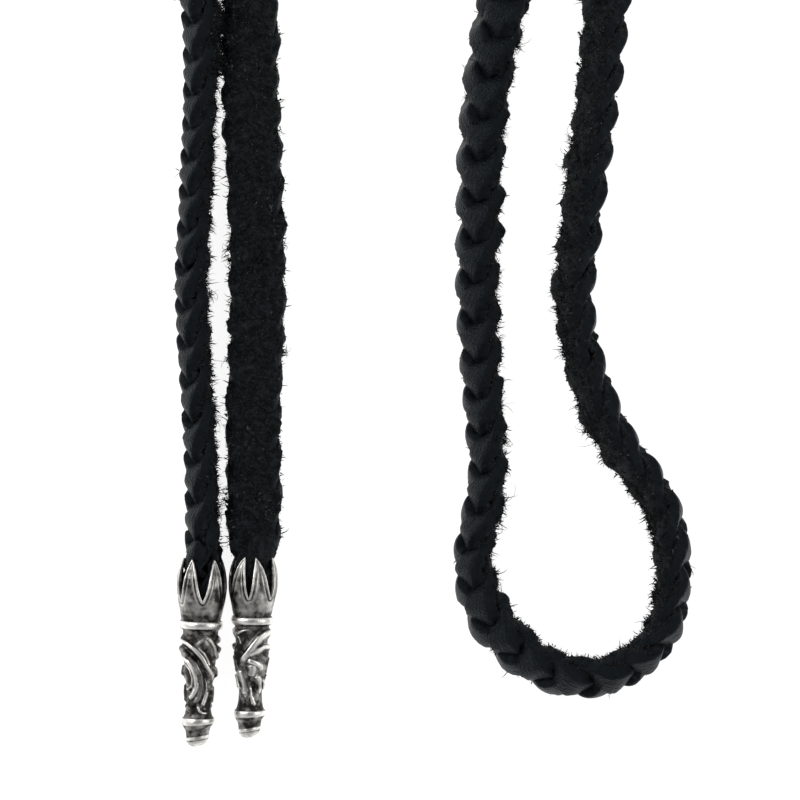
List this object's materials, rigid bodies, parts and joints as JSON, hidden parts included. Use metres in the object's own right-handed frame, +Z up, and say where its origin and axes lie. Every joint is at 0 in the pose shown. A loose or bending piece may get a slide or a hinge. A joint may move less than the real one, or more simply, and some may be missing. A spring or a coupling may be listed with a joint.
{
  "type": "braided leather necklace",
  "caption": "Lariat necklace of flat braided black leather laid double, with an end loop and clawed, scrolled silver tips on both free ends.",
  "frame": {"origin": "middle of the necklace's box, on the surface that it lies on", "axes": "+Z up from the surface, +Y from the tips towards the neck arch, +X from the tips towards the end loop"},
  "size_m": [0.1404, 0.2618, 0.0064],
  "materials": {
    "leather": "black leather, pebbled grain on one face, fuzzy suede on the other",
    "silver": "oxidised silver, dark in the recesses and polished on the crests"
  },
  "bodies": {
    "root": {"braided_cord": "leather", "end_tip_left": "silver", "end_tip_right": "silver"}
  },
  "joints": []
}
